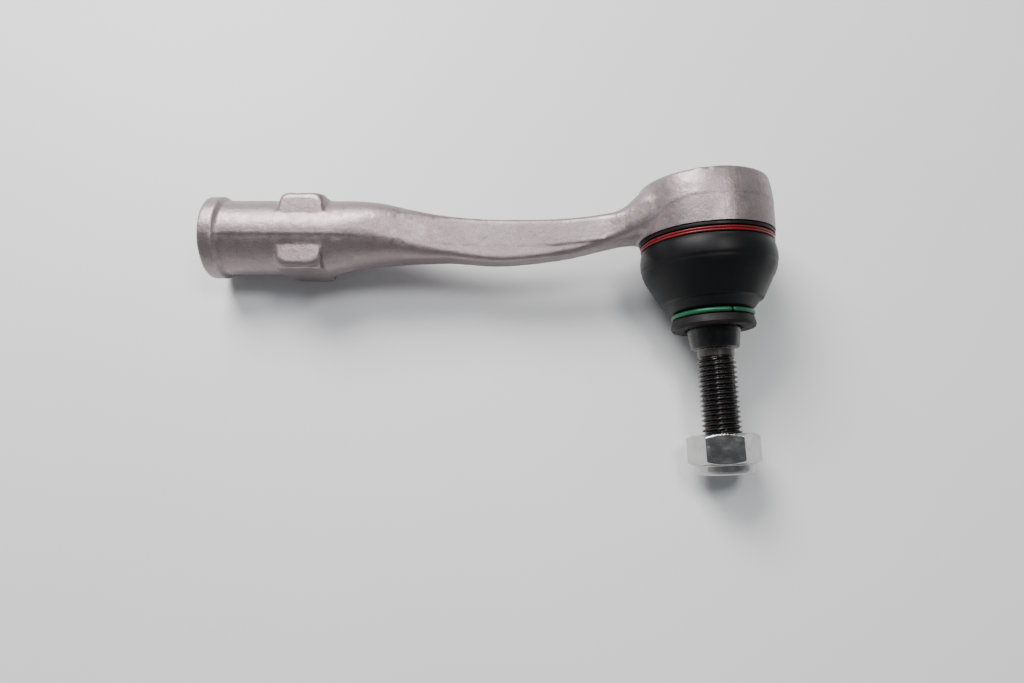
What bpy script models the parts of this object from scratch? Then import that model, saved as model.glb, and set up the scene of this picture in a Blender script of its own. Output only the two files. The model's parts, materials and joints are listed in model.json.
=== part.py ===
"""Tie rod end: a forged tube and arm with a ball joint, its boot, stud and lock nut.

Every piece is drawn in the joint's own axes: the origin is the centre of the ball, +Z runs
along the stud axis towards the closing plate and +X points away from the tube.  One empty
then lays the whole assembly down the way it rests by itself: on the tube's collar, on the
belly of the boot and on an edge of the nut's hexagon.  The row's origin is under the middle of the
part, at floor level.
"""

import math

import bmesh
import bpy
from mathutils import Matrix, Vector

MM = 0.001
GAP = 0.3                       # clearance between pieces that touch, in mm like all sizes below

# Tube, measured along its own axis from the open end
TUBE_END_X = -157.95
TUBE_END_Z = 6.3
TUBE_SLOPE = math.radians(3.69)
TUBE_R = 12.0
COLLAR_R = 13.2
COLLAR_WIDTH = 4.4
BORE_R = 7.25                   # minor radius of the M16 x 1.5 socket
BORE_DEPTH = 50.0
FLATS_HALF = 11.0               # wrench flats, 22 across
BOSS_HALF = 12.15               # the other two sides of their boss
FLATS_START = 24.4
FLATS_LENGTH = 14.2

# Ball joint housing
CUP_R = 21.0
CUP_BELLY_R = 21.25
CUP_TOP_R = 20.25
CUP_TOP_Z = 13.3
CUP_FACE_Z = -3.5
SPIGOT_R = 17.0
SPIGOT_Z = -9.0
CAVITY_R = 14.8
SEAT_R = 16.2
SEAT_Z = 10.2
LIP_Z = 12.2

# Ball stud
BALL_R = 10.0
NECK_R = 5.6
SHANK_R = 8.1
THREAD_R = 5.92                 # M12 x 1.5
THREAD_ROOT_R = 5.1
PITCH = 1.5
TAPER_TOP_Z = -32.4
TAPER_END_Z = -38.2
TAPER_END_R = 7.25
THREAD_TOP_Z = -41.0
TIP_Z = -74.5

# Dust boot, its rings and the lip ring
BELLY_Z = -11.0
BELLY_CENTRE_R = 9.2
BELLY_ROUND = 11.8
FOOT_R = 11.0
FOOT_Z = -28.8
UPPER_WIRE_R = 0.34
UPPER_RING_R = 20.2
UPPER_RING_Z = (-5.4, -6.2)     # its two turns
UPPER_CROSSING = (75, 105)      # degrees round the stud between which one turn passes to the other
LOWER_WIRE_R = 0.72
LOWER_RING_R = 12.0
LOWER_RING_Z = -28.05
LIP_RING_TOP_Z = -29.1

# Lock nut
NUT_HALF = 9.5                  # 19 across flats
NUT_TOP_Z = -64.3
HEX_END_Z = -73.3
NUT_END_Z = -76.4
NUT_BORE_R = 6.3
NUT_CORNER_R = NUT_HALF / math.cos(math.radians(30))
NUT_TURN = math.radians(-9.5)   # how far the nut is turned from having a flat square to the tube
COLLAR_NUT_R = 8.7

SEGMENTS = 32


def clear_scene():
    for item in list(bpy.data.objects):
        bpy.data.objects.remove(item, do_unlink=True)


def material(name, colour, metallic, roughness):
    made = bpy.data.materials.new(name)
    made.use_nodes = True
    shader = made.node_tree.nodes["Principled BSDF"]
    shader.inputs["Base Color"].default_value = (*colour, 1.0)
    shader.inputs["Metallic"].default_value = metallic
    shader.inputs["Roughness"].default_value = roughness
    return made


def add_object(name, bm, parent, finish=None):
    """Turn a bmesh drawn in millimetres into an object in metres."""
    bmesh.ops.recalc_face_normals(bm, faces=bm.faces)
    bmesh.ops.scale(bm, vec=(MM, MM, MM), verts=bm.verts)
    mesh = bpy.data.meshes.new(name)
    bm.to_mesh(mesh)
    bm.free()
    mesh.shade_smooth()
    mesh.set_sharp_from_angle(angle=math.radians(35))
    made = bpy.data.objects.new(name, mesh)
    bpy.context.scene.collection.objects.link(made)
    made.parent = parent
    if finish:
        mesh.materials.append(finish)
    return made


def as_guide(item):
    item.hide_render = True
    item.display_type = "WIRE"
    return item


def cut(target, tool, operation="DIFFERENCE"):
    step = target.modifiers.new(tool.name, "BOOLEAN")
    step.operation = operation
    step.solver = "EXACT"
    step.object = tool


def rounded(corners):
    """Points of an outline whose corners are (r, z) or, with a rounding, (r, z, radius)."""
    points = []
    count = len(corners)
    for index, corner in enumerate(corners):
        here = Vector(corner[:2])
        if len(corner) == 2:
            points.append(tuple(here))
            continue
        before = (Vector(corners[index - 1][:2]) - here).normalized()
        after = (Vector(corners[(index + 1) % count][:2]) - here).normalized()
        half = before.angle(after) / 2
        reach = corner[2] / math.tan(half)
        centre = here + (before + after).normalized() * corner[2] / math.sin(half)
        start = here + before * reach - centre
        turn = start.angle_signed(here + after * reach - centre)
        steps = max(2, round(abs(turn) / math.radians(30)))
        for step in range(steps + 1):
            angle = -turn * step / steps
            offset = Matrix.Rotation(angle, 2) @ start
            points.append(tuple(centre + offset))
    return points


def smooth_curve(keys, steps):
    """Catmull-Rom curve through rows of numbers, with the end rows repeated."""
    rows = [keys[0], *keys, keys[-1]]
    curve = []
    for index in range(1, len(rows) - 2):
        window = rows[index - 1:index + 3]
        for step in range(steps):
            t = step / steps
            weights = (
                (-t + 2 * t ** 2 - t ** 3) / 2,
                (2 - 5 * t ** 2 + 3 * t ** 3) / 2,
                (t + 4 * t ** 2 - 3 * t ** 3) / 2,
                (-t ** 2 + t ** 3) / 2,
            )
            columns = zip(*window)
            curve.append(tuple(sum(w * v for w, v in zip(weights, column)) for column in columns))
    curve.append(tuple(keys[-1]))
    return curve


def turned(outline, segments=SEGMENTS):
    """Solid of revolution about Z from a closed outline of (r, z) points."""
    bm = bmesh.new()
    rings = []
    for r, z in outline:
        if r < 1e-6:
            rings.append([bm.verts.new((0, 0, z))] * segments)
            continue
        ring = []
        for index in range(segments):
            angle = 2 * math.pi * index / segments
            ring.append(bm.verts.new((r * math.cos(angle), r * math.sin(angle), z)))
        rings.append(ring)
    for first, second in zip(rings, rings[1:] + rings[:1]):
        for index in range(segments):
            following = (index + 1) % segments
            corners = [first[index], first[following], second[following], second[index]]
            corners = list(dict.fromkeys(corners))
            if len(corners) > 2:
                bm.faces.new(corners)
    return bm


def loft(sections):
    """Closed solid through rings with the same number of points."""
    bm = bmesh.new()
    rings = [[bm.verts.new(point) for point in section] for section in sections]
    for first, second in zip(rings, rings[1:]):
        for index in range(len(first)):
            following = (index + 1) % len(first)
            bm.faces.new((first[index], first[following], second[following], second[index]))
    bm.faces.new(rings[0])
    bm.faces.new(rings[-1])
    return bm


def rounded_box_section(along, offset, half_y, half_z, corner, per_corner=8):
    """Ring of points across the tube axis: a box with round corners, or a circle."""
    points = []
    for index in range(4 * per_corner):
        angle = math.radians(90) * (index + 0.5) / per_corner
        side_y = math.copysign(half_y - corner, math.cos(angle))
        side_z = math.copysign(half_z - corner, math.sin(angle))
        y = side_y + corner * math.cos(angle)
        z = side_z + corner * math.sin(angle)
        points.append((along, y, z + offset))
    return points


def wire(path, radius, sides):
    """Round wire along points round the Z axis, with flat ends."""
    sections = []
    for point in path:
        centre = Vector(point)
        outward = Vector((centre.x, centre.y, 0)).normalized()
        ring = []
        for side in range(sides):
            angle = 2 * math.pi * side / sides
            ring.append(centre + radius * (outward * math.cos(angle) + Vector((0, 0, math.sin(angle)))))
        sections.append(ring)
    return loft(sections)


def hexagon_ring(z):
    """Corners of the nut's hexagon at one height."""
    angles = [NUT_TURN + math.radians(60 * corner) for corner in range(6)]
    return [(NUT_CORNER_R * math.cos(angle), NUT_CORNER_R * math.sin(angle), z) for angle in angles]


def resting_turn():
    """Rotation that lays the joint on the boot's belly, an edge of the nut and the tube's collar."""
    on_side = Matrix(((1, 0, 0), (0, 0, 1), (0, -1, 0)))
    tube_way = Vector((-math.cos(TUBE_SLOPE), 0, math.sin(TUBE_SLOPE)))
    collar = Vector((TUBE_END_X, 0, TUBE_END_Z)) - tube_way * COLLAR_WIDTH / 2
    tilt = yaw = 0.0
    for _ in range(30):
        turn = Matrix.Rotation(tilt, 3, "X") @ on_side @ Matrix.Rotation(-yaw, 3, "Z")
        boot_low = BELLY_Z * math.sin(tilt) - BELLY_CENTRE_R * math.cos(tilt) - BELLY_ROUND
        nut_low = min((turn @ Vector(corner)).z for corner in hexagon_ring(HEX_END_Z + 1))
        collar_low = (turn @ collar).z - COLLAR_R * math.sqrt(1 - (turn @ tube_way).z ** 2)
        tilt += (nut_low - boot_low) / abs(HEX_END_Z)
        yaw += (collar_low - boot_low) / abs(TUBE_END_X)
    return turn


def tube_frame(name, parent):
    """Empty at the tube's open end, with +X along the tube towards the ball."""
    frame = bpy.data.objects.new(name, None)
    bpy.context.scene.collection.objects.link(frame)
    frame.parent = parent
    frame.location = (TUBE_END_X * MM, 0, TUBE_END_Z * MM)
    frame.rotation_euler = (0, TUBE_SLOPE, 0)
    return frame


def build_housing(joint, finish):
    tube = tube_frame("tube_axis", joint)
    barrel = [
        (0.0, 0.0, COLLAR_R - 0.7),
        (0.2, 0.0, COLLAR_R - 0.2),
        (0.7, 0.0, COLLAR_R),
        (COLLAR_WIDTH - 0.3, 0.0, COLLAR_R),
        (COLLAR_WIDTH + 0.3, 0.0, COLLAR_R - 0.4),
        (COLLAR_WIDTH + 1.0, 0.0, TUBE_R + 0.1),
        (COLLAR_WIDTH + 1.6, 0.0, TUBE_R),
        (30.0, 0.0, TUBE_R),
    ]
    # Along the tube axis: place, offset, half thickness, half height, corner rounding
    arm = [
        (40.0, 0.0, 12.0, 12.0, 12.0),
        (47.5, 0.9, 11.5, 10.9, 10.7),
        (56.0, 1.1, 10.3, 9.6, 8.0),
        (66.0, 0.4, 7.9, 8.0, 4.8),
        (78.0, -0.4, 5.5, 6.85, 2.3),
        (94.0, -1.25, 4.3, 6.95, 1.6),
        (112.5, 0.0, 4.3, 6.1, 1.6),
        (125.0, 2.2, 5.2, 5.2, 2.0),
        (131.3, 3.8, 7.4, 4.95, 3.0),
        (137.6, 6.9, 11.0, 7.1, 5.5),
        (141.8, 7.4, 13.6, 7.4, 6.8),
        (146.3, 7.7, 14.0, 7.4, 7.0),
    ]
    sections = [rounded_box_section(x, w, r, r, r) for x, w, r in barrel]
    sections += [rounded_box_section(*row) for row in smooth_curve(arm, 2)]
    housing = add_object("housing", loft(sections), tube, finish)

    flats = []
    middle = FLATS_START + FLATS_LENGTH / 2
    for side in (-1, 1):
        for along, corner in ((7.1, 6.5), (6.3, 3.6), (4.0, 2.0)):
            flats.append((middle + side * along, corner))
    flats.sort()
    rings = [rounded_box_section(x, 0, FLATS_HALF, BOSS_HALF, c) for x, c in flats]
    cut(housing, as_guide(add_object("flats_tool", loft(rings), tube)), "UNION")

    cup = rounded([
        (0, CUP_TOP_Z),
        (CUP_TOP_R, CUP_TOP_Z, 0.8),
        (20.95, 8.9),
        (CUP_BELLY_R, 4.5),
        (CUP_R, CUP_FACE_Z, 0.4),
        (SPIGOT_R, CUP_FACE_Z),
        (SPIGOT_R, -7.9),
        (SPIGOT_R + 0.5, -8.2),
        (SPIGOT_R + 0.5, SPIGOT_Z),
        (0, SPIGOT_Z),
    ])
    cut(housing, as_guide(add_object("cup_tool", turned(cup, 40), joint)), "UNION")

    cavity = [
        (0, SPIGOT_Z - 0.5),
        (11.98, SPIGOT_Z - 0.5),
        (10.3, -6.5),
        (CAVITY_R, -6.5),
        (CAVITY_R, SEAT_Z),
        (SEAT_R, SEAT_Z),
        (SEAT_R, LIP_Z),
        (14.6, LIP_Z),
        (14.6, CUP_TOP_Z + 1),
        (0, CUP_TOP_Z + 1),
    ]
    cut(housing, as_guide(add_object("cavity_tool", turned(cavity), joint)))

    bore = [
        (0, -1.0),
        (BORE_R + 2.3, -1.0),
        (BORE_R, 1.3),
        (BORE_R, BORE_DEPTH),
        (0, BORE_DEPTH + BORE_R * math.tan(math.radians(31))),
    ]
    tool = as_guide(add_object("bore_tool", turned(bore), tube))
    tool.rotation_euler = (0, math.radians(90), 0)
    cut(housing, tool)


def sphere_arc(radius, low, high, steps):
    """(r, z) points on a sphere about the ball centre between two heights."""
    first = math.asin(low / radius)
    last = math.asin(high / radius)
    angles = [first + (last - first) * step / steps for step in range(steps + 1)]
    return [(radius * math.cos(angle), radius * math.sin(angle)) for angle in angles]


def build_races(joint, finish):
    bearing_r = BALL_R + 0.2
    outer = CAVITY_R - GAP
    lower = sphere_arc(bearing_r, -4.4, -0.15, 5)
    lower += [(outer, -0.15), (outer, -5.2), (13.5, -6.2), (10.2, -6.2)]
    add_object("lower_race", turned(lower), joint, finish)
    upper = sphere_arc(bearing_r, 0.15, 8.2, 6)
    upper += [(6.6, 8.6), (13.9, 8.6), (outer, 8.0), (outer, 0.15)]
    add_object("upper_race", turned(upper), joint, finish)


def build_cover(joint, plate_finish, spring_finish):
    spring = [(13.0, 8.9), (13.0, 9.4), (7.0, 10.2), (7.0, 9.7)]
    add_object("preload_spring", turned(spring), joint, spring_finish)
    edge = SEAT_R - GAP
    plate = [
        (0, SEAT_Z + GAP),
        (edge, SEAT_Z + GAP),
        (edge, LIP_Z - GAP),
        (7.5, LIP_Z - GAP),
        (6.7, LIP_Z - 0.8),
        (0, LIP_Z - 0.8),
    ]
    add_object("cover_plate", turned(plate), joint, plate_finish)


def thread(top, bottom, crest, root, pitch, around, per_turn):
    """Rows of points that follow the helix; the thread runs out at both ends."""
    turns = int((top - bottom) / pitch) - 1
    profile = [crest if phase < per_turn / 2 else root for phase in range(per_turn)]
    rows = []
    for row in range(turns * per_turn + 1):
        ring = []
        for column in range(around):
            z = top - pitch * (row / per_turn + column / around)
            faded = row < per_turn or row > (turns - 1) * per_turn
            r = root if faded else profile[row % per_turn]
            angle = -2 * math.pi * column / around
            ring.append((r * math.cos(angle), r * math.sin(angle), z))
        rows.append(ring)
    return rows


def build_stud(joint, finish):
    """Ball, neck, shank and taper are turned; the thread is one helical surface."""
    around = 20
    per_turn = 4
    neck_top = -math.sqrt(BALL_R ** 2 - NECK_R ** 2)
    outline = [(0, 9.5)]
    outline += reversed(sphere_arc(BALL_R, neck_top, 9.5, 11))
    outline += [
        (NECK_R, -14.0),
        (SHANK_R, -20.0),
        (SHANK_R, TAPER_TOP_Z),
        (TAPER_END_R, TAPER_END_Z),
        (TAPER_END_R - 0.5, TAPER_END_Z - 0.5),
        (THREAD_ROOT_R + 0.4, TAPER_END_Z - 0.5),
        (THREAD_ROOT_R + 0.4, THREAD_TOP_Z + 0.4),
    ]
    bm = bmesh.new()
    rings = []
    for r, z in outline:
        if r == 0:
            pole = bm.verts.new((0, 0, z))
            continue
        ring = []
        for column in range(around):
            angle = -2 * math.pi * column / around
            ring.append(bm.verts.new((r * math.cos(angle), r * math.sin(angle), z)))
        rings.append(ring)
    helix = thread(THREAD_TOP_Z, TIP_Z + 1.2, THREAD_R, THREAD_ROOT_R, PITCH, around, per_turn)
    rows = [[bm.verts.new(point) for point in ring] for ring in helix]
    tip = []
    for r, z in ((THREAD_ROOT_R, TIP_Z + 0.8), (THREAD_ROOT_R - 0.8, TIP_Z)):
        ring = []
        for column in range(around):
            angle = -2 * math.pi * column / around
            ring.append(bm.verts.new((r * math.cos(angle), r * math.sin(angle), z)))
        tip.append(ring)

    def band(first, second):
        for column in range(around):
            following = (column + 1) % around
            bm.faces.new((first[column], first[following], second[following], second[column]))

    for column in range(around):
        bm.faces.new((pole, rings[0][column], rings[0][(column + 1) % around]))
    for first, second in zip(rings, rings[1:]):
        band(first, second)
    for first, second in zip(rows, rows[1:]):
        for column in range(around - 1):
            bm.faces.new((first[column], first[column + 1], second[column + 1], second[column]))
    last = around - 1
    for row in range(len(rows) - 1 - per_turn):
        seam = (rows[row][last], rows[row + per_turn][0], rows[row + per_turn + 1][0], rows[row + 1][last])
        bm.faces.new(seam)
    # The first and last rows climb one pitch, so each end closes with a fan of triangles
    start = rows[0] + [rows[row][0] for row in range(per_turn, 0, -1)]
    close_ramp(bm, rings[-1], start, around)
    finish_row = [rows[row][last] for row in range(len(rows) - 1 - per_turn, len(rows) - 1)]
    end = rows[-1] + list(reversed(finish_row))
    close_ramp(bm, tip[0], end, around)
    band(tip[0], tip[1])
    bm.faces.new(tip[1])
    add_object("ball_stud", bm, joint, finish)


def close_ramp(bm, ring, ramp, around):
    """Join a flat ring to a helical row of the same columns plus the step at its seam."""
    for column in range(around - 1):
        bm.faces.new((ring[column], ring[column + 1], ramp[column + 1], ramp[column]))
    step = ramp[around:]
    bm.faces.new([ring[around - 1], ring[0], ramp[0], *reversed(step), ramp[around - 1]])


def build_boot(joint, finish):
    belly = []
    for degrees in range(18, -35, -6):
        angle = math.radians(degrees)
        r = BELLY_CENTRE_R + BELLY_ROUND * math.cos(angle)
        belly.append((r, BELLY_Z + BELLY_ROUND * math.sin(angle)))
    outer = [
        (17.3, -3.8), (20.5, -3.8), (20.7, -4.0), (20.7, -4.7),
        (19.5, -4.85), (19.5, -6.75), (20.4, -6.9),
        *belly,
        (16.1, -23.0), (15.7, -23.7), (14.6, -24.2), (12.8, -26.4), (11.9, -27.05),
        (FOOT_R, -27.1), (FOOT_R, FOOT_Z),
    ]
    inner = [
        (8.4, FOOT_Z), (8.4, -26.0), (10.4, -25.2), (13.6, -22.8), (16.2, -19.0), (17.8, -16.0),
        (18.8, -13.5), (19.2, -11.0), (18.8, -9.6), (17.9, -9.2), (17.9, -8.0), (17.3, -7.6),
    ]
    add_object("dust_boot", turned(outer + inner), joint, finish)


def ring_path(radius, start, sweep, top, bottom, steps):
    """Points round the stud axis, from one angle through a sweep and from one height to another."""
    points = []
    for step in range(steps + 1):
        part = step / steps
        angle = math.radians(start + sweep * part)
        z = top + (bottom - top) * part
        points.append((radius * math.cos(angle), radius * math.sin(angle), z))
    return points


def build_rings(joint, red, green, dark):
    first, second = UPPER_RING_Z
    leave, arrive = UPPER_CROSSING
    crossing = arrive - leave
    upper = ring_path(UPPER_RING_R, arrive, 360 - crossing, first, first, 30)
    upper += ring_path(UPPER_RING_R, leave, crossing, first, second, 4)[1:-1]
    upper += ring_path(UPPER_RING_R, arrive, 360 - crossing, second, second, 30)
    add_object("upper_clamp_ring", wire(upper, UPPER_WIRE_R, 6), joint, red)
    lower = ring_path(LOWER_RING_R, -73, 357, LOWER_RING_Z, LOWER_RING_Z, 44)
    add_object("lower_clamp_ring", wire(lower, LOWER_WIRE_R, 8), joint, green)
    lip = [
        (8.4, LIP_RING_TOP_Z), (12.3, LIP_RING_TOP_Z), (12.85, -31.3),
        (12.5, -32.2), (8.9, -32.2), (8.4, -31.7),
    ]
    add_object("boot_lip_ring", turned(lip), joint, dark)


def build_nut(joint, finish, nylon):
    chamfer_r = 9.35
    corner_r = NUT_CORNER_R + 0.3
    chamfer = (corner_r - chamfer_r) * math.tan(math.radians(30))
    blank = [
        (NUT_BORE_R + 0.6, NUT_TOP_Z), (chamfer_r, NUT_TOP_Z), (corner_r, NUT_TOP_Z - chamfer),
        (corner_r, HEX_END_Z + chamfer), (chamfer_r, HEX_END_Z), (COLLAR_NUT_R, HEX_END_Z - 0.1),
        (COLLAR_NUT_R, -75.2), (8.3, -76.1), (7.6, NUT_END_Z), (7.0, NUT_END_Z), (7.0, -76.0),
        (7.9, -75.9), (7.9, -73.2), (NUT_BORE_R, -73.2), (NUT_BORE_R, NUT_TOP_Z - 0.6),
    ]
    nut = add_object("lock_nut", turned(blank, 36), joint, finish)
    hexagon = [hexagon_ring(NUT_TOP_Z + 1), hexagon_ring(NUT_END_Z - 1)]
    cut(nut, as_guide(add_object("hexagon_tool", loft(hexagon), joint)), "INTERSECT")
    insert = [(6.25, -73.5), (7.6, -73.5), (7.6, -75.6), (6.25, -75.6)]
    add_object("nut_insert", turned(insert), joint, nylon)


def settle(joint):
    """Move the assembly so that the middle of its underside is the origin."""
    bpy.context.view_layer.update()
    view = bpy.context.evaluated_depsgraph_get()
    places = []
    for item in bpy.context.scene.objects:
        if item.type == "MESH" and not item.hide_render:
            solid = item.evaluated_get(view)
            places += [solid.matrix_world @ vertex.co for vertex in solid.data.vertices]
    low = [min(place[axis] for place in places) for axis in range(3)]
    high = [max(place[axis] for place in places) for axis in range(3)]
    joint.location = (-(low[0] + high[0]) / 2, -(low[1] + high[1]) / 2, -low[2])
    bpy.context.view_layer.update()


def main():
    clear_scene()
    forged = material("forged_steel", (0.50, 0.47, 0.45), 0.75, 0.45)
    black_oxide = material("black_oxide", (0.03, 0.03, 0.032), 0.8, 0.3)
    rubber = material("boot_rubber", (0.02, 0.02, 0.022), 0.0, 0.6)
    red = material("red_wire", (0.55, 0.03, 0.03), 0.1, 0.4)
    green = material("green_wire", (0.01, 0.22, 0.08), 0.1, 0.4)
    dark = material("dark_ring", (0.05, 0.045, 0.05), 0.2, 0.5)
    zinc = material("zinc", (0.75, 0.74, 0.72), 1.0, 0.15)
    nylon = material("nylon", (0.55, 0.6, 0.65), 0.0, 0.5)
    bearing = material("bearing_plastic", (0.8, 0.8, 0.76), 0.0, 0.5)
    spring = material("spring_steel", (0.3, 0.3, 0.3), 1.0, 0.35)
    plate = material("plated_cover", (0.45, 0.44, 0.43), 0.9, 0.4)

    joint = bpy.data.objects.new("joint_centre", None)
    bpy.context.scene.collection.objects.link(joint)
    joint.rotation_mode = "QUATERNION"
    joint.rotation_quaternion = resting_turn().to_quaternion()

    build_housing(joint, forged)
    build_races(joint, bearing)
    build_cover(joint, plate, spring)
    build_stud(joint, black_oxide)
    build_boot(joint, rubber)
    build_rings(joint, red, green, dark)
    build_nut(joint, zinc, nylon)
    settle(joint)


main()
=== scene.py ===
"""Looks of the tie rod end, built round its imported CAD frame.

Shapes are drawn in millimetres in the ball joint's own axes: the origin is the centre of the
ball, +Z runs along the stud towards the closing plate and +X points away from the tube.  The
frame's joints say where those axes lie, and every piece is moved there before it is finished.
"""

import json
import math
import random

import bmesh
import bpy
import numpy as np
from mathutils import Euler, Matrix, Vector, noise


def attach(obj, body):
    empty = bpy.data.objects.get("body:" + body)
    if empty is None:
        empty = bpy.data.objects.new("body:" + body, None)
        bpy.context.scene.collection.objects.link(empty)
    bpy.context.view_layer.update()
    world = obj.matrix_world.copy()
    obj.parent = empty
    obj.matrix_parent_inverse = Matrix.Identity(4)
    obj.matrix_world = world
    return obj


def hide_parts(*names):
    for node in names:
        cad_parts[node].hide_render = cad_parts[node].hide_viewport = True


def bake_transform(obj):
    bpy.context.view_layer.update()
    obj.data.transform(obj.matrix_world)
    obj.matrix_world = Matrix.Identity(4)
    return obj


MM = 0.001

# Camera, in the joint's axes: lens in mm on a 36 mm sensor, place in mm, turn in degrees
CAMERA_LENS = 26.4
CAMERA_PLACE = (-51.9, -231.5, -68.7)
CAMERA_TURN = (98.83, 2.45, 2.98)

# Tube and arm, measured along the tube from its open end
TUBE_END_X = -157.95
TUBE_END_Z = 6.3
TUBE_SLOPE = math.radians(3.69)
TUBE_R = 12.0
COLLAR_R = 13.2
COLLAR_WIDTH = 4.4
BORE_R = 7.25
SOCKET_THREAD_R = 8.0
BORE_DEPTH = 50.0
SOCKET_START = 1.6
FLATS_HALF = 11.0
BOSS_HALF = 12.15
FLATS_MIDDLE = 31.5
# Wrench boss: half lengths and corner roundings, from its ends inwards
BOSS_ENDS = [(7.1, 6.5), (6.9, 4.9), (6.3, 3.6), (5.4, 2.6), (4.0, 2.0)]
BOSS_BLEND = 7.4
# Along the tube: place, offset, half thickness, half height, corner rounding
ARM = [
    (40.0, 0.0, 12.0, 12.0, 12.0),
    (47.5, 0.9, 11.5, 10.9, 10.7),
    (56.0, 1.1, 10.3, 9.6, 8.0),
    (66.0, 0.4, 7.9, 8.0, 4.8),
    (78.0, -0.4, 5.5, 6.85, 2.3),
    (94.0, -1.25, 4.3, 6.95, 1.6),
    (112.5, 0.0, 4.3, 6.1, 1.6),
    (125.0, 2.2, 5.2, 5.2, 2.0),
    (131.3, 3.8, 7.4, 4.95, 3.0),
    (137.6, 6.9, 11.0, 7.1, 5.5),
    (141.8, 7.4, 13.6, 7.4, 6.8),
    (146.3, 7.7, 14.0, 7.4, 7.0),
]
# Parting line of the forging: place along the tube and height over its axis
PARTING = [
    (0, -1.8), (40, -1.8), (60, -2.2), (85, -3.0), (111, -2.5),
    (128, -0.8), (134, 1.0), (140, 3.5), (144, 6.4), (150, 8.0),
]
PARTING_CUP_Z = 5.0
MISMATCH = 0.16
TRIM_HEIGHT = 0.10
PITS = 70

# Ball joint housing
CUP_R = 21.0
CUP_BELLY_R = 21.25
CUP_TOP_R = 20.25
CUP_TOP_Z = 13.3
CUP_FACE_Z = -3.5
CUP_BLEND_R = 22.5
SPIGOT_R = 17.0
SPIGOT_Z = -9.0
CAVITY_R = 14.8
SEAT_R = 16.2
SEAT_Z = 10.2
LIP_R = 14.6
LIP_Z = 12.2

# Ball stud
BALL_R = 10.0
NECK_R = 5.6
SHANK_R = 8.1
THREAD_R = 5.92
THREAD_ROOT_R = 5.05
PITCH = 1.5
TAPER_TOP_Z = -32.4
TAPER_END_Z = -38.2
TAPER_END_R = 7.25
RELIEF_R = 5.5
THREAD_TOP_Z = -41.0
TIP_Z = -74.5

# Dust boot and rings
BELLY_Z = -11.0
BELLY_CENTRE_R = 9.2
BELLY_ROUND = 11.8
FOLD_ANGLE = -34
FOOT_R = 11.0
FOOT_Z = -28.8
UPPER_WIRE_R = 0.34
UPPER_RING_R = 20.2
UPPER_RING_Z = (-5.4, -6.2)
UPPER_CROSSING = (75, 105)
LOWER_WIRE_R = 0.72
LOWER_RING_R = 12.0
LOWER_RING_Z = -28.05

# Lock nut
NUT_HALF = 9.5
NUT_TOP_Z = -64.3
HEX_END_Z = -73.3
NUT_END_Z = -76.4
NUT_BORE_R = 6.2
NUT_CORNER_R = NUT_HALF / math.cos(math.radians(30))
NUT_TURN = math.radians(-9.5)
COLLAR_NUT_R = 8.7

# Mesh spacing of the forging and the nut
VOXEL = 0.5
NUT_VOXEL = 0.17

# Room: brightness at the horizon and overhead, and where the lamps point
SKY_HORIZON = 0.62
SKY_TOP = 0.13
LAMP_TARGET = (0.02, 0, 0.02)


# Where the joint's axes lie in the row frame

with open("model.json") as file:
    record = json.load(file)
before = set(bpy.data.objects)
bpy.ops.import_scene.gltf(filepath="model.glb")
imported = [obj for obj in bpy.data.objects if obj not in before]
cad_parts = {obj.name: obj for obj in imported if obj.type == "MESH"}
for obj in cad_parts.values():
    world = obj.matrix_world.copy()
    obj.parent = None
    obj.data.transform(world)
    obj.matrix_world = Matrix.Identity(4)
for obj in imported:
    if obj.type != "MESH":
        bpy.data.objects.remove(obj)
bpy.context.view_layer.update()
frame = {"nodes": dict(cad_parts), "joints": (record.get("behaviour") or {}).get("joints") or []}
joints = {joint["name"]: joint for joint in frame["joints"]}
ball = Vector(joints["stud_spin"]["pos_m"])
stud_way = Vector(joints["stud_spin"]["axis"]).normalized()
rod_way = Vector(joints["stud_swing_sideways"]["axis"]).normalized()
side_way = stud_way.cross(rod_way)
axes = Matrix((rod_way, side_way, stud_way)).transposed().to_4x4()
JOINT_AXES = Matrix.Translation(ball) @ axes
JOINT = JOINT_AXES @ Matrix.Scale(MM, 4)
TUBE = Matrix.Translation((TUBE_END_X, 0, TUBE_END_Z)) @ Matrix.Rotation(TUBE_SLOPE, 4, "Y")
ALONG_TUBE = TUBE @ Matrix.Rotation(math.radians(90), 4, "Y")


# Shapes

def rounded(corners, step_degrees=10):
    """Points of an outline whose corners are (r, z) or, with a rounding, (r, z, radius)."""
    points = []
    count = len(corners)
    for index, corner in enumerate(corners):
        here = Vector(corner[:2])
        if len(corner) == 2:
            points.append(tuple(here))
            continue
        before = (Vector(corners[index - 1][:2]) - here).normalized()
        after = (Vector(corners[(index + 1) % count][:2]) - here).normalized()
        half = before.angle(after) / 2
        reach = corner[2] / math.tan(half)
        centre = here + (before + after).normalized() * corner[2] / math.sin(half)
        start = here + before * reach - centre
        turn = start.angle_signed(here + after * reach - centre)
        steps = max(2, round(abs(turn) / math.radians(step_degrees)))
        for step in range(steps + 1):
            offset = Matrix.Rotation(-turn * step / steps, 2) @ start
            points.append(tuple(centre + offset))
    return points


def smooth_curve(keys, steps):
    """Catmull-Rom curve through rows of numbers, with the end rows repeated."""
    rows = [keys[0], *keys, keys[-1]]
    curve = []
    for index in range(1, len(rows) - 2):
        window = rows[index - 1:index + 3]
        for step in range(steps):
            t = step / steps
            weights = (
                (-t + 2 * t ** 2 - t ** 3) / 2,
                (2 - 5 * t ** 2 + 3 * t ** 3) / 2,
                (t + 4 * t ** 2 - 3 * t ** 3) / 2,
                (-t ** 2 + t ** 3) / 2,
            )
            row = [sum(w * v for w, v in zip(weights, column)) for column in zip(*window)]
            curve.append(tuple(row))
    curve.append(tuple(keys[-1]))
    return curve


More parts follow.
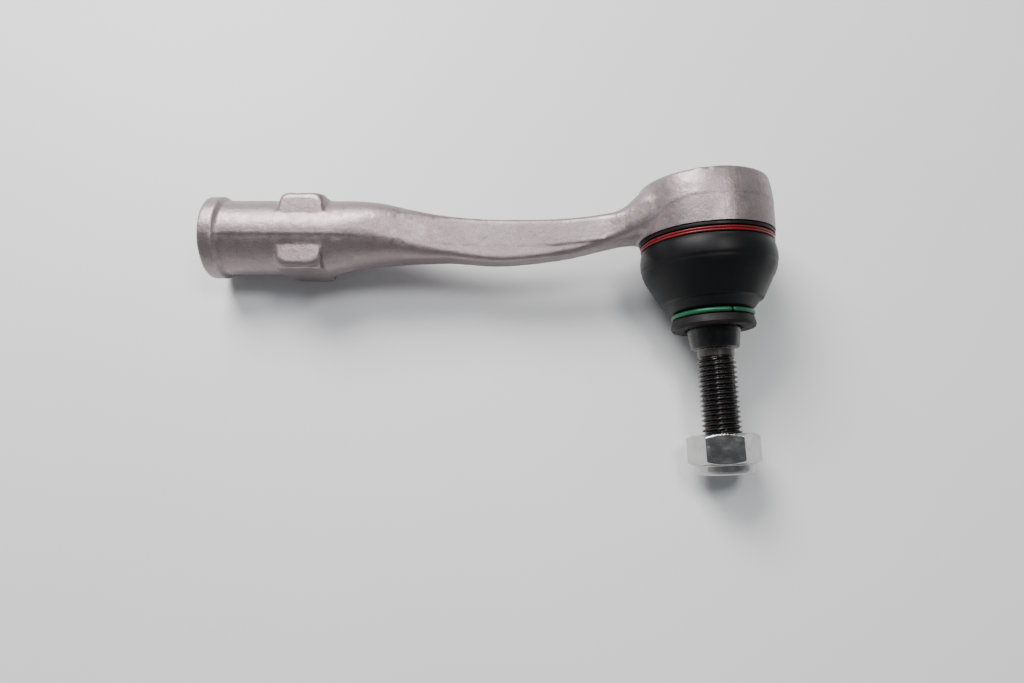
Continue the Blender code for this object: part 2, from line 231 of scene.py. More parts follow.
def turned(outline, segments=144):
    """Solid of revolution about Z from a closed outline of (r, z) points."""
    bm = bmesh.new()
    rings = []
    for r, z in outline:
        if r < 1e-6:
            rings.append([bm.verts.new((0, 0, z))] * segments)
            continue
        rings.append([bm.verts.new(point) for point in circle(r, z, segments)])
    for first, second in zip(rings, rings[1:] + rings[:1]):
        for index in range(segments):
            following = (index + 1) % segments
            corners = [first[index], first[following], second[following], second[index]]
            corners = list(dict.fromkeys(corners))
            if len(corners) > 2:
                bm.faces.new(corners)
    return bm


def loft(sections):
    """Closed solid through rings with the same number of points."""
    bm = bmesh.new()
    rings = [[bm.verts.new(point) for point in section] for section in sections]
    for first, second in zip(rings, rings[1:]):
        for index in range(len(first)):
            following = (index + 1) % len(first)
            bm.faces.new((first[index], first[following], second[following], second[index]))
    bm.faces.new(rings[0])
    bm.faces.new(rings[-1])
    return bm


def rounded_box_section(along, offset, half_y, half_z, corner, per_corner=24):
    """Ring of points across the tube axis: a box with round corners, or a circle."""
    points = []
    for index in range(4 * per_corner):
        angle = math.radians(90) * (index + 0.5) / per_corner
        side_y = math.copysign(half_y - corner, math.cos(angle))
        side_z = math.copysign(half_z - corner, math.sin(angle))
        y = side_y + corner * math.cos(angle)
        z = side_z + corner * math.sin(angle)
        points.append((along, y, z + offset))
    return points


def wire(path, radius, sides=20):
    """Round wire along points round the Z axis, with domed ends."""
    sections = []
    last = len(path) - 1
    for index, point in enumerate(path):
        centre = Vector(point)
        outward = Vector((centre.x, centre.y, 0)).normalized()
        size = radius
        if index in (0, last):
            size = radius * 0.55
        ring = []
        for side in range(sides):
            angle = 2 * math.pi * side / sides
            spoke = outward * math.cos(angle) + Vector((0, 0, math.sin(angle)))
            ring.append(centre + size * spoke)
        sections.append(ring)
    return loft(sections)


def ridge(phase):
    """Height of an ISO thread between its root and crest, from 0 to 1."""
    away = abs(2 * phase - 1)
    height = min(1.0, max(0.0, 1.12 - 1.35 * away))
    return height * height * (3 - 2 * height)


def threaded_rings(top, bottom, root, crest, run_out, around=96, per_turn=14):
    """Rings of a right-hand thread of one pitch, from the top down, fading at both ends."""
    rings = []
    rows = round((top - bottom) / PITCH * per_turn)
    for row in range(rows + 1):
        z = top - PITCH * row / per_turn
        fade = min(1.0, (top - z) / run_out, (z - bottom) / run_out)
        ring = []
        for column in range(around):
            part = column / around
            r = root + (crest - root) * fade * ridge((z / PITCH - part) % 1)
            angle = 2 * math.pi * part
            ring.append((r * math.cos(angle), r * math.sin(angle), z))
        rings.append(ring)
    return rings


def circle(r, z, around=96):
    angles = [2 * math.pi * index / around for index in range(around)]
    return [(r * math.cos(angle), r * math.sin(angle), z) for angle in angles]


def sphere_arc(radius, low, high, steps):
    """(r, z) points on a sphere about the ball centre between two heights."""
    first = math.asin(low / radius)
    last = math.asin(high / radius)
    angles = [first + (last - first) * step / steps for step in range(steps + 1)]
    return [(radius * math.cos(angle), radius * math.sin(angle)) for angle in angles]


# Working solids, in millimetres in the joint's axes

def solid(bm, placed=None):
    if placed:
        bm.transform(placed)
    bmesh.ops.recalc_face_normals(bm, faces=bm.faces)
    mesh = bpy.data.meshes.new("working")
    bm.to_mesh(mesh)
    bm.free()
    item = bpy.data.objects.new("working", mesh)
    bpy.context.scene.collection.objects.link(item)
    return item


def bake(item):
    """Replace the object's mesh with what its modifiers make of it."""
    view = bpy.context.evaluated_depsgraph_get()
    mesh = bpy.data.meshes.new_from_object(item.evaluated_get(view))
    item.modifiers.clear()
    item.data = mesh
    return item


def combine(target, tool, operation="DIFFERENCE"):
    step = target.modifiers.new("combine", "BOOLEAN")
    step.operation = operation
    step.solver = "EXACT"
    step.object = tool
    bake(target)
    bpy.data.objects.remove(tool)
    return target


def evened(item, voxel):
    step = item.modifiers.new("even", "REMESH")
    step.mode = "VOXEL"
    step.voxel_size = voxel
    return bake(item)


def softened(item, passes, weights=None):
    """Smooth the mesh; weights say how much at each vertex."""
    step = item.modifiers.new("soften", "SMOOTH")
    step.factor = 0.5
    step.iterations = passes
    if weights is not None:
        group = item.vertex_groups.new(name="soften")
        levels = np.round(weights * 10).astype(int)
        for level in range(1, 11):
            chosen = np.nonzero(levels == level)[0].tolist()
            group.add(chosen, level / 10, "REPLACE")
        step.vertex_group = "soften"
    bake(item)
    item.vertex_groups.clear()
    return item


def places(mesh):
    flat = np.empty(len(mesh.vertices) * 3)
    mesh.vertices.foreach_get("co", flat)
    return flat.reshape(-1, 3)


def normals(mesh):
    flat = np.empty(len(mesh.vertices) * 3, np.float32)
    mesh.vertex_normals.foreach_get("vector", flat)
    return flat.reshape(-1, 3).astype(float)


def put_places(mesh, points):
    mesh.vertices.foreach_set("co", points.astype(np.float32).ravel())
    mesh.update()


def put_mask(mesh, name, values):
    """A number at each vertex, which the materials read by name."""
    layer = mesh.attributes.get(name) or mesh.attributes.new(name, "FLOAT", "POINT")
    layer.data.foreach_set("value", np.clip(values, 0, 1).astype(np.float32))


def bulge(mesh, reach):
    """How far each vertex stands out from its neighbours, over a reach of a few rings."""
    count = len(mesh.vertices)
    pairs = np.empty(len(mesh.edges) * 2, np.int64)
    mesh.edges.foreach_get("vertices", pairs)
    first, second = pairs.reshape(-1, 2).T
    links = np.bincount(pairs, minlength=count).clip(1)
    points = places(mesh)
    middle = points.copy()
    for _ in range(reach):
        total = np.zeros_like(middle)
        for axis in range(3):
            total[:, axis] = np.bincount(first, middle[second, axis], count)
            total[:, axis] += np.bincount(second, middle[first, axis], count)
        middle = total / links[:, None]
    return ((points - middle) * normals(mesh)).sum(1)


def smooth_step(value, low, high):
    t = np.clip((value - low) / (high - low), 0, 1)
    return t * t * (3 - 2 * t)


def noise_at(points, scale, seed):
    shift = Vector((seed * 17.3, seed * 5.1, seed * 9.7))
    return np.array([noise.noise(Vector(point) * scale + shift) for point in points])


def finished(item, name, finish, body, stands_for, smooth_angle=40):
    """Move a working solid to the row frame, give it its finish and name, attach it to its body
    if it has one and hide the CAD nodes it stands for.
    """
    item.data.transform(JOINT)
    item.data.materials.clear()
    item.data.materials.append(finish)
    item.data.shade_smooth()
    item.data.set_sharp_from_angle(angle=math.radians(smooth_angle))
    item.name = name
    item.data.name = name
    if body:
        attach(item, body)
    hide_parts(*stands_for)
    return item


# Materials

def remapped(tree, source, low, high, to_low, to_high):
    """Node output that carries a source from one range to another."""
    node = tree.nodes.new("ShaderNodeMapRange")
    node.inputs["From Min"].default_value = low
    node.inputs["From Max"].default_value = high
    node.inputs["To Min"].default_value = to_low
    node.inputs["To Max"].default_value = to_high
    tree.links.new(source, node.inputs["Value"])
    return node.outputs["Result"]


class Finish:
    """A Principled material and the nodes that feed it, in object coordinates."""

    def __init__(self, name, colour, metallic, roughness):
        self.made = bpy.data.materials.new(name)
        self.made.use_nodes = True
        self.tree = self.made.node_tree
        self.shader = self.tree.nodes["Principled BSDF"]
        self.set("Base Color", (*colour, 1.0))
        self.set("Metallic", metallic)
        self.set("Roughness", roughness)
        self.where = self.tree.nodes.new("ShaderNodeTexCoord").outputs["Object"]

    def set(self, socket, value):
        self.shader.inputs[socket].default_value = value

    def feed(self, socket, source):
        self.tree.links.new(source, self.shader.inputs[socket])

    def noise(self, scale, detail=3.0, stretch=(1, 1, 1), distortion=0.0):
        mapping = self.tree.nodes.new("ShaderNodeMapping")
        mapping.inputs["Scale"].default_value = stretch
        self.tree.links.new(self.where, mapping.inputs["Vector"])
        node = self.tree.nodes.new("ShaderNodeTexNoise")
        node.inputs["Scale"].default_value = scale
        node.inputs["Detail"].default_value = detail
        node.inputs["Distortion"].default_value = distortion
        self.tree.links.new(mapping.outputs["Vector"], node.inputs["Vector"])
        return node.outputs["Fac"]

    def mask(self, name):
        node = self.tree.nodes.new("ShaderNodeAttribute")
        node.attribute_name = name
        return node.outputs["Fac"]

    def range(self, source, low, high, to_low, to_high):
        return remapped(self.tree, source, low, high, to_low, to_high)

    def blend(self, factor, first, second):
        """Colour between two; each is a colour or a socket."""
        node = self.tree.nodes.new("ShaderNodeMix")
        node.data_type = "RGBA"
        self.tree.links.new(factor, node.inputs["Factor"])
        for socket, source in (("A", first), ("B", second)):
            colours = [entry for entry in node.inputs if entry.type == "RGBA"]
            target = [entry for entry in colours if entry.name == socket][0]
            if isinstance(source, tuple):
                target.default_value = (*source, 1.0)
            else:
                self.tree.links.new(source, target)
        return [entry for entry in node.outputs if entry.type == "RGBA"][0]

    def bump(self, height, depth_mm, below=None):
        node = self.tree.nodes.new("ShaderNodeBump")
        node.inputs["Strength"].default_value = 1.0
        node.inputs["Distance"].default_value = depth_mm * MM
        self.tree.links.new(height, node.inputs["Height"])
        if below:
            self.tree.links.new(below, node.inputs["Normal"])
        return node.outputs["Normal"]


def forged_finish():
    """Shot-blasted forging: pinkish grey, fine grain, with painted shade in its hollows and a
    painted shadow line just under the parting line.
    """
    finish = Finish("forged_steel", (0.45, 0.42, 0.40), 0.85, 0.45)
    cloud = finish.range(finish.noise(70, 4), 0.3, 0.7, 0, 1)
    grain = finish.noise(2600, 3)
    colour = finish.blend(cloud, (0.295, 0.238, 0.245), (0.372, 0.306, 0.310))
    speck = finish.range(grain, 0.34, 0.62, 0.45, 0)
    colour = finish.blend(speck, colour, (0.165, 0.140, 0.145))
    stain = finish.range(finish.noise(190, 5, distortion=1.2), 0.58, 0.75, 0, 0.35)
    colour = finish.blend(stain, colour, (0.20, 0.165, 0.165))
    # Painted shade: the colour is darkened in hollows, for the shade that falls there.
    colour = finish.blend(finish.mask("hollow_shade"), colour, (0.15, 0.138, 0.135))
    colour = finish.blend(finish.mask("worn"), colour, (0.50, 0.43, 0.435))
    # Painted shadow: a near-black line of colour just under the parting line, for the thin
    # shadow cast by the trimmed fin.
    colour = finish.blend(finish.mask("flash_shadow"), colour, (0.05, 0.045, 0.045))
    finish.feed("Base Color", colour)
    finish.feed("Roughness", finish.range(finish.noise(420, 4), 0.3, 0.7, 0.36, 0.50))
    normal = finish.bump(finish.noise(330, 3), 0.10)
    normal = finish.bump(finish.noise(1100, 2), 0.05, normal)
    normal = finish.bump(finish.noise(700, 2, stretch=(1, 0.07, 0.07)), 0.035, normal)
    finish.feed("Normal", finish.bump(grain, 0.03, normal))
    return finish.made


def rubber_finish():
    """Moulded rubber: nearly black, a soft sheen, dusty in places."""
    finish = Finish("boot_rubber", (0.012, 0.012, 0.013), 0.0, 0.45)
    finish.set("Specular IOR Level", 0.20)
    dust = finish.range(finish.noise(90, 5), 0.45, 0.8, 0, 0.5)
    finish.feed("Base Color", finish.blend(dust, (0.004, 0.004, 0.005), (0.011, 0.011, 0.012)))
    finish.feed("Roughness", finish.range(finish.noise(150, 4), 0.3, 0.7, 0.34, 0.48))
    normal = finish.bump(finish.noise(120, 2), 0.06)
    finish.feed("Normal", finish.bump(finish.noise(2200, 2), 0.012, normal))
    return finish.made


def black_oxide_finish():
    """Oiled black oxide: glossy near-black, brown where it is thin."""
    finish = Finish("black_oxide", (0.02, 0.02, 0.021), 0.7, 0.25)
    brown = finish.range(finish.noise(240, 5), 0.5, 0.8, 0, 0.6)
    colour = finish.blend(brown, (0.012, 0.012, 0.013), (0.030, 0.026, 0.024))
    colour = finish.blend(finish.mask("worn"), colour, (0.10, 0.082, 0.072))
    finish.feed("Base Color", colour)
    finish.feed("Roughness", finish.range(finish.noise(500, 4), 0.3, 0.7, 0.20, 0.36))
    turning = finish.noise(900, 2, stretch=(0.1, 1, 1))
    finish.feed("Normal", finish.bump(turning, 0.01))
    finish.set("Coat Weight", 0.35)
    finish.set("Coat Roughness", 0.15)
    return finish.made


def zinc_finish():
    """Bright zinc plate over a coarse forged nut: sharp, broken reflections."""
    finish = Finish("zinc", (0.60, 0.60, 0.59), 1.0, 0.14)
    cloud = finish.range(finish.noise(160, 5, distortion=0.8), 0.35, 0.7, 0, 1)
    colour = finish.blend(cloud, (0.56, 0.555, 0.55), (0.40, 0.395, 0.39))
    colour = finish.blend(finish.mask("worn"), colour, (0.93, 0.92, 0.90))
    finish.feed("Base Color", colour)
    finish.feed("Roughness", finish.range(finish.noise(380, 4), 0.3, 0.75, 0.08, 0.26))
    normal = finish.bump(finish.noise(420, 3, distortion=0.3), 0.12)
    finish.feed("Normal", finish.bump(finish.noise(900, 3), 0.03, normal))
    return finish.made


def coated_wire_finish(name, colour, dark):
    finish = Finish(name, colour, 0.15, 0.35)
    chipped = finish.range(finish.noise(700, 4), 0.60, 0.72, 0, 0.6)
    shade = finish.blend(finish.range(finish.noise(200, 3), 0.3, 0.7, 0, 0.5), colour, dark)
    finish.feed("Base Color", finish.blend(chipped, shade, (0.05, 0.04, 0.04)))
    finish.feed("Roughness", finish.range(finish.noise(600, 3), 0.3, 0.7, 0.26, 0.44))
    finish.feed("Normal", finish.bump(finish.noise(900, 2), 0.015))
    return finish.made


def plain_finish(name, colour, second, metallic, roughness, gloss=0.5):
    """A finish with two close colours, uneven gloss and a fine grain."""
    finish = Finish(name, colour, metallic, roughness)
    finish.set("Specular IOR Level", gloss)
    cloud = finish.range(finish.noise(140, 5), 0.35, 0.7, 0, 1)
    finish.feed("Base Color", finish.blend(cloud, colour, second))
    gritty = finish.noise(360, 4)
    finish.feed("Roughness", finish.range(gritty, 0.3, 0.7, roughness * 0.8, roughness * 1.2))
    finish.feed("Normal", finish.bump(finish.noise(1200, 2), 0.012))
    return finish.made


# Pieces

def parting_side(points):
    """How far each point lies above the forging's parting line."""
    in_tube = TUBE.inverted()
    turn = np.array(in_tube.to_3x3())
    local = points @ turn.T + np.array(in_tube.translation)
    along, height = zip(*PARTING)
    over_arm = local[:, 2] - np.interp(local[:, 0], along, height)
    from_stud = np.hypot(points[:, 0], points[:, 1])
    over_cup = points[:, 2] - PARTING_CUP_Z
    near_cup = smooth_step(points[:, 0], -15, -6)
    return over_arm * (1 - near_cup) + over_cup * near_cup, local, from_stud


def forged_shape():
    """Tube, arm, wrench boss and cup as one evenly meshed solid with blended junctions."""
    barrel = rounded([
        (0, 0),
        (COLLAR_R, 0, 0.6),
        (COLLAR_R, COLLAR_WIDTH, 0.6),
        (TUBE_R, COLLAR_WIDTH + 1.3, 0.9),
        (TUBE_R, 31),
        (0, 31),
    ])
    forging = solid(turned(barrel), ALONG_TUBE)
    straight = [(x, 0.0, TUBE_R, TUBE_R, TUBE_R) for x in (30.0, 33.0, 36.0)]
    sections = [rounded_box_section(*row) for row in straight + smooth_curve(ARM, 8)]
    combine(forging, solid(loft(sections), TUBE), "UNION")
    ends = [(side * along, corner) for side in (-1, 1) for along, corner in BOSS_ENDS]
    boss = [
        rounded_box_section(FLATS_MIDDLE + along, 0, FLATS_HALF, BOSS_HALF, corner)
        for along, corner in sorted(ends)
    ]
    combine(forging, solid(loft(boss), TUBE), "UNION")
    cup = rounded([
        (0, CUP_TOP_Z),
        (CUP_TOP_R, CUP_TOP_Z, 0.9),
        (20.95, 8.9, 12),
        (CUP_BELLY_R, 4.5, 30),
        (CUP_R + 0.02, CUP_FACE_Z - 1.5),
        (0, CUP_FACE_Z - 1.5),
    ])
    combine(forging, solid(turned(cup)), "UNION")
    evened(forging, VOXEL)

    # Blend the boss into the tube and the arm into the cup, and round the arm's edges a little
    points = places(forging.data)
    _, local, from_stud = parting_side(points)
    off_boss = np.abs(np.abs(local[:, 0] - FLATS_MIDDLE) - BOSS_BLEND)
    off_cup = np.abs(from_stud - CUP_BLEND_R)
    weights = np.full(len(points), 0.05)
    weights += 0.30 * smooth_step(-off_boss, -2.8, -0.5)
    weights += 0.9 * smooth_step(-off_cup, -6.5, -2.5) * (points[:, 0] < -6)
    return softened(forging, 26, np.clip(weights, 0, 1))


def wear_forging(forging):
    """Die mismatch at the parting line, uneven scale and small pits, all cut inwards."""
    mesh = forging.data
    points = places(mesh)
    outward = normals(mesh)
    side, local, from_stud = parting_side(points)
    facing = smooth_step(np.abs(outward[:, 1]), 0.25, 0.6)
    on_side = np.where(from_stud < 22.1, 1.0, facing)
    seen = smooth_step(local[:, 0], 4.5, 6.5)
    near_joint = smooth_step(local[:, 0], 105, 115) * smooth_step(-points[:, 0], 22, 36)
    on_tube = smooth_step(-local[:, 0], -52, -44)
    step = 0.15 + 0.85 * np.maximum(on_tube, near_joint)
    step = np.maximum(step, np.where(points[:, 0] > -36, 0.45, 0))
    mismatch = MISMATCH * smooth_step(-side, -0.25, 0.25)
    trimmed = TRIM_HEIGHT * np.exp(-(side / 0.45) ** 2)
    depth = 0.05 + 0.05 * noise_at(points, 0.16, 1) + 0.025 * noise_at(points, 0.7, 2)
    depth += (mismatch + TRIM_HEIGHT - trimmed) * on_side * seen * step
    chooser = random.Random(7)
    pits = [chooser.randrange(len(points)) for _ in range(PITS)]
    for pit in pits:
        away = np.linalg.norm(points - points[pit], axis=1)
        wide = chooser.uniform(0.45, 1.3)
        depth += chooser.uniform(0.04, 0.16) * np.exp(-(away / wide) ** 2)
    put_places(mesh, points - outward * np.clip(depth, 0, None)[:, None])

    # Painted shadow: a mask just under the parting line, broken up by noise, that darkens the
    # colour where the trimmed fin casts its thin shadow.
    flash_shadow = np.exp(-((side + 0.25) / 0.35) ** 2) * on_side * seen
    broken = smooth_step(noise_at(points, 0.11, 3), -0.35, 0.25)
    flash_shadow *= (0.35 + 0.65 * broken) * (0.12 + 0.8 * near_joint)
    stands = bulge(mesh, 4)
    put_mask(mesh, "flash_shadow", flash_shadow)
    put_mask(mesh, "worn", smooth_step(stands, 0.06, 0.26) * 0.55)
    # Painted shade: a mask of how far each vertex lies below its neighbours, which darkens its
    # colour in hollows.
    put_mask(mesh, "hollow_shade", smooth_step(-stands, 0.05, 0.24) * 0.4)


def machine_forging(forging):
    """The face under the cup, its spigot, the cavity and the threaded socket."""
    face = [(0, CUP_FACE_Z), (23, CUP_FACE_Z), (23, CUP_FACE_Z - 4), (0, CUP_FACE_Z - 4)]
    combine(forging, solid(turned(face)))
    spigot = rounded([
        (12, 0),
        (SPIGOT_R, 0),
        (SPIGOT_R, -7.9),
        (SPIGOT_R + 0.5, -8.2),
        (SPIGOT_R + 0.5, SPIGOT_Z, 0.2),
        (12, SPIGOT_Z),
    ])
    combine(forging, solid(turned(spigot)), "UNION")
    cavity = rounded([
        (0, SPIGOT_Z - 0.5),
        (11.98, SPIGOT_Z - 0.5),
        (10.3, -6.5),
        (CAVITY_R, -6.5),
        (CAVITY_R, SEAT_Z),
        (SEAT_R, SEAT_Z),
        (SEAT_R, LIP_Z),
        (LIP_R, LIP_Z, 0.15),
        (LIP_R + 0.2, CUP_TOP_Z + 1),
        (0, CUP_TOP_Z + 1),
    ])
    combine(forging, solid(turned(cavity)))
    socket = [circle(BORE_R + 2.4, -1.0), circle(BORE_R, 1.4)]
    thread = threaded_rings(0, SOCKET_START - BORE_DEPTH, BORE_R, SOCKET_THREAD_R, 2.0)
    socket += [[(x, y, SOCKET_START - z) for x, y, z in ring] for ring in thread]
    socket += [circle(BORE_R, BORE_DEPTH + 0.4), circle(0.05, BORE_DEPTH + 4.4)]
    combine(forging, solid(loft(socket), ALONG_TUBE))


def build_housing(finish):
    forging = forged_shape()
    wear_forging(forging)
    machine_forging(forging)
    finished(forging, "housing_forging", finish, "housing", ["housing"], 32)


def build_cover(finish):
    edge = SEAT_R - 0.3
    plate = rounded([
        (0, SEAT_Z + 0.3),
        (edge, SEAT_Z + 0.3),
        (edge, LIP_Z - 0.3, 0.2),
        (10.6, LIP_Z - 0.3, 0.4),
        (10.2, LIP_Z - 0.5, 0.4),
        (7.7, LIP_Z - 0.5, 0.5),
        (6.7, LIP_Z - 0.8, 0.5),
        (0, LIP_Z - 0.8),
    ])
    piece = solid(turned(plate))
    finished(piece, "closing_plate", finish, "housing", ["cover_plate"])


def build_stud(finish):
    neck_top = -math.sqrt(BALL_R ** 2 - NECK_R ** 2)
    outline = [(0, 9.5), *reversed(sphere_arc(BALL_R, neck_top, 9.5, 30))]
    outline += rounded([
        (0, 0),
        (NECK_R, neck_top),
        (NECK_R, -14.0, 3),
        (SHANK_R, -20.0, 2),
        (SHANK_R, TAPER_TOP_Z, 6),
        (TAPER_END_R, TAPER_END_Z, 0.45),
        (RELIEF_R + 0.1, TAPER_END_Z - 0.35, 0.5),
        (RELIEF_R, THREAD_TOP_Z + 0.3),
        (0, THREAD_TOP_Z + 0.3),
    ])[2:-1]
    rings = [circle(r, z) for r, z in outline if r > 0]
    rings += threaded_rings(THREAD_TOP_Z, TIP_Z + 1.1, THREAD_ROOT_R, THREAD_R, 1.3)
    rings += [circle(THREAD_ROOT_R - 0.9, TIP_Z)]
    piece = solid(loft(rings))
    mark = [(0, TIP_Z - 1), (1.6, TIP_Z - 0.4), (1.0, TIP_Z + 0.5), (0, TIP_Z + 1.3)]
    combine(piece, solid(turned(mark, 48)))
    mesh = piece.data
    points = places(mesh)
    r = np.hypot(points[:, 0], points[:, 1])
    worn = smooth_step(r, THREAD_R - 0.25, THREAD_R) * (points[:, 2] < THREAD_TOP_Z) * 0.3
    worn += (points[:, 2] < TAPER_END_Z - 0.3) * (points[:, 2] > THREAD_TOP_Z) * 0.6
    put_mask(mesh, "worn", worn)
    finished(piece, "ball_stud_turned", finish, "stud", ["ball_stud"], 30)


def boot_outlines():
    """Outside and inside of the boot from its top band to its foot, as (r, z) points."""
    belly = []
    for degrees in range(18, FOLD_ANGLE - 1, -2):
        angle = math.radians(degrees)
        pinch = 0.13 * math.exp(-((degrees + 11) / 1.6) ** 2)
        r = BELLY_CENTRE_R + (BELLY_ROUND - pinch) * math.cos(angle)
        belly.append((r, BELLY_Z + (BELLY_ROUND - pinch) * math.sin(angle)))
    upper = rounded([
        (17.3, -3.8),
        (20.7, -3.8, 0.2),
        (20.7, -4.7, 0.15),
        (19.5, -4.85, 0.2),
        (19.5, -6.75, 0.2),
        (20.4, -6.9, 0.15),
        belly[0],
    ])[:-1] + belly
    lower = rounded([
        belly[-1],
        (16.1, -23.0, 0.5),
        (15.7, -23.8, 0.3),
        (14.6, -24.2, 0.5),
        (12.8, -26.4, 0.4),
        (11.9, -27.05, 0.25),
        (FOOT_R, -27.1, 0.2),
        (FOOT_R, FOOT_Z, 0.15),
        (8.4, FOOT_Z, 0.1),
    ])
    inner = [
        (8.4, -26.0), (10.4, -25.2), (13.6, -22.8), (16.2, -19.0), (17.0, -17.6),
        (17.8, -16.0), (18.8, -13.5), (19.2, -11.0), (18.8, -9.6), (17.9, -9.2),
        (17.9, -8.0), (17.3, -7.6),
    ]
    return upper, lower + inner[:5], inner[4:]


def build_boot(finish):
    upper, lower, inner = boot_outlines()
    parts = {}
    for name, outline in (("boot_belly", upper + inner), ("boot_skirt", lower)):
        piece = solid(turned(outline, 160))
        points = places(piece.data)
        outward = points * (1, 1, 0)
        outward /= np.linalg.norm(outward, axis=1)[:, None]
        wavy = 0.06 + 0.06 * noise_at(points, 0.13, 5)
        put_places(piece.data, points - outward * (wavy * (points[:, 2] < -7.6))[:, None])
        parts[name] = finished(piece, name, finish, None, ["dust_boot"], 45)
    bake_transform(parts["boot_belly"])
    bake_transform(parts["boot_skirt"])


def ring_path(radius, start, sweep, top, bottom, steps):
    """Points round the stud axis, over a sweep of angles and between two heights."""
    points = []
    for step in range(steps + 1):
        part = step / steps
        angle = math.radians(start + sweep * part)
        z = top + (bottom - top) * part
        points.append((radius * math.cos(angle), radius * math.sin(angle), z))
    return points


def build_rings(red, green, dark):
    first, second = UPPER_RING_Z
    leave, arrive = UPPER_CROSSING
    crossing = arrive - leave
    path = ring_path(UPPER_RING_R, arrive, 360 - crossing, first, first, 130)
    path += ring_path(UPPER_RING_R, leave, crossing, first, second, 14)[1:-1]
    path += ring_path(UPPER_RING_R, arrive, 360 - crossing, second, second, 130)
    upper = solid(wire(path, UPPER_WIRE_R))
    finished(upper, "red_ring", red, "housing", ["upper_clamp_ring"], 60)
    path = ring_path(LOWER_RING_R, -73, 358.3, LOWER_RING_Z, LOWER_RING_Z, 150)
    lower = solid(wire(path, LOWER_WIRE_R, 24))
    finished(lower, "green_ring", green, "boot_foot", ["lower_clamp_ring"], 60)
    lip = rounded([
        (8.4, -29.1),
        (12.3, -29.1, 0.2),
        (12.85, -31.3, 0.25),
        (12.5, -32.2, 0.15),
        (8.9, -32.2, 0.2),
        (8.4, -31.7),
    ])
    piece = solid(turned(lip))
    finished(piece, "lip_ring", dark, "boot_foot", ["boot_lip_ring"])


def hexagon(z):
    angles = [NUT_TURN + math.radians(60 * corner) for corner in range(6)]
    r = NUT_CORNER_R
    return [(r * math.cos(angle), r * math.sin(angle), z) for angle in angles]


def build_nut(finish, nylon):
    chamfer_r = 9.35
    corner_r = NUT_CORNER_R + 0.3
    chamfer = (corner_r - chamfer_r) * math.tan(math.radians(30))
    blank = [
        (NUT_BORE_R + 0.8, NUT_TOP_Z), (chamfer_r, NUT_TOP_Z), (corner_r, NUT_TOP_Z - chamfer),
        (corner_r, HEX_END_Z + chamfer), (chamfer_r, HEX_END_Z), (COLLAR_NUT_R, HEX_END_Z - 0.1),
        (COLLAR_NUT_R, -75.2), (8.3, -76.1), (7.6, NUT_END_Z), (7.0, NUT_END_Z), (7.0, -76.0),
        (7.9, -75.9), (7.9, -73.2), (NUT_BORE_R, -73.2), (NUT_BORE_R, NUT_TOP_Z - 0.8),
    ]
    nut = solid(turned(blank, 180))
    combine(nut, solid(loft([hexagon(NUT_TOP_Z + 1), hexagon(NUT_END_Z - 1)])), "INTERSECT")
    evened(nut, NUT_VOXEL)
    softened(nut, 9)
    mesh = nut.data
    put_mask(mesh, "worn", smooth_step(bulge(mesh, 3), 0.02, 0.10))
    finished(nut, "hex_nut", finish, "nut", ["lock_nut"], 60)
    insert = rounded([(6.25, -73.5), (7.6, -73.5), (7.6, -75.6, 0.3), (6.25, -75.6, 0.3)])
    finished(solid(turned(insert)), "nylon_ring", nylon, "nut_carriage", ["nut_insert"])


def dress_hidden_nodes():
    """The sealed pieces keep their CAD shape and get a material of their own."""
    acetal = plain_finish("acetal", (0.80, 0.79, 0.74), (0.72, 0.71, 0.66), 0.0, 0.45)
    spring = plain_finish("spring_steel", (0.30, 0.30, 0.31), (0.20, 0.20, 0.22), 1.0, 0.35)
    hidden = {"lower_race": acetal, "upper_race": acetal, "preload_spring": spring}
    for node, finish in hidden.items():
        shown = frame["nodes"][node]
        shown.data.materials.clear()
        shown.data.materials.append(finish)


# Floor, light and camera

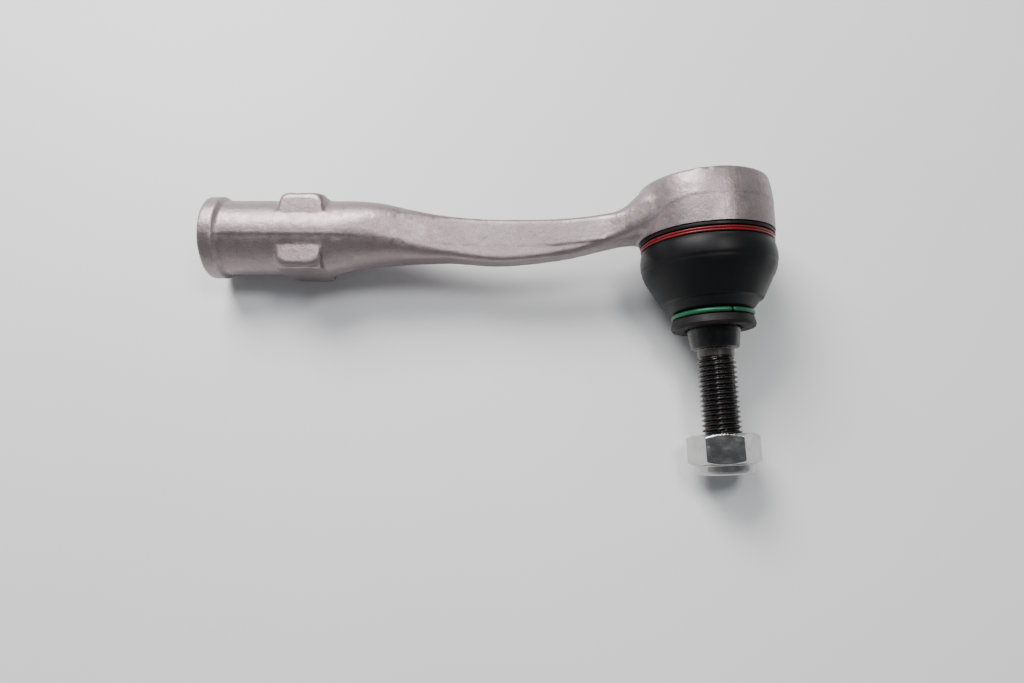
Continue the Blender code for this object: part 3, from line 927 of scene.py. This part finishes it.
def build_stage():
    bm = bmesh.new()
    bmesh.ops.create_grid(bm, x_segments=8, y_segments=8, size=4.0)
    floor = solid(bm)
    floor.name = "floor"
    finish = Finish("floor", (0.78, 0.79, 0.80), 0.0, 0.5)
    tint = finish.range(finish.noise(6, 4), 0.3, 0.7, 0, 1)
    finish.feed("Base Color", finish.blend(tint, (0.76, 0.77, 0.785), (0.80, 0.81, 0.82)))
    floor.data.materials.append(finish.made)

    world = bpy.data.worlds.new("studio")
    bpy.context.scene.world = world
    world.use_nodes = True
    tree = world.node_tree
    backdrop = tree.nodes["Background"]
    backdrop.inputs["Color"].default_value = (0.92, 0.95, 1.0, 1.0)
    where = tree.nodes.new("ShaderNodeTexCoord")
    split = tree.nodes.new("ShaderNodeSeparateXYZ")
    tree.links.new(where.outputs["Generated"], split.inputs["Vector"])
    fall = remapped(tree, split.outputs["Z"], 0.0, 0.8, SKY_HORIZON, SKY_TOP)
    tree.links.new(fall, backdrop.inputs["Strength"])

    lamp("key", (-0.25, 0.50, 0.55), 0.40, 10.0, (1.0, 0.97, 0.94))
    lamp("overhead", (0.22, 0.12, 0.75), 0.20, 2.2, (1.0, 0.98, 0.96))
    lamp("fill", (-0.16, 0.13, 0.72), 0.22, 0.8, (0.90, 0.94, 1.0))


def lamp(name, place, size, watts, colour):
    """A square softbox that faces the middle of the object."""
    light = bpy.data.lights.new(name, "AREA")
    light.size = size
    light.energy = watts
    light.color = colour
    item = bpy.data.objects.new(name, light)
    bpy.context.scene.collection.objects.link(item)
    item.location = place
    facing = Vector(LAMP_TARGET) - Vector(place)
    item.rotation_euler = facing.to_track_quat("-Z", "Y").to_euler()


def build_camera():
    lens = bpy.data.cameras.new("camera")
    lens.lens = CAMERA_LENS
    lens.clip_start = 0.01
    camera = bpy.data.objects.new("camera", lens)
    bpy.context.scene.collection.objects.link(camera)
    turn = Euler([math.radians(angle) for angle in CAMERA_TURN]).to_matrix().to_4x4()
    camera.matrix_world = JOINT_AXES @ Matrix.Translation(Vector(CAMERA_PLACE) * MM) @ turn
    bpy.context.scene.camera = camera


def main():
    build_camera()
    build_stage()
    build_housing(forged_finish())
    build_cover(plain_finish("plated_cover", (0.42, 0.41, 0.40), (0.33, 0.32, 0.32), 0.9, 0.38))
    build_stud(black_oxide_finish())
    build_boot(rubber_finish())
    build_rings(
        coated_wire_finish("red_wire", (0.20, 0.004, 0.008), (0.11, 0.003, 0.005)),
        coated_wire_finish("green_wire", (0.006, 0.12, 0.050), (0.003, 0.06, 0.025)),
        plain_finish("dark_ring", (0.006, 0.005, 0.006), (0.013, 0.011, 0.011), 0.0, 0.5, 0.2),
    )
    build_nut(
        zinc_finish(),
        plain_finish("nylon", (0.55, 0.60, 0.66), (0.45, 0.50, 0.58), 0.0, 0.4),
    )
    dress_hidden_nodes()


main()
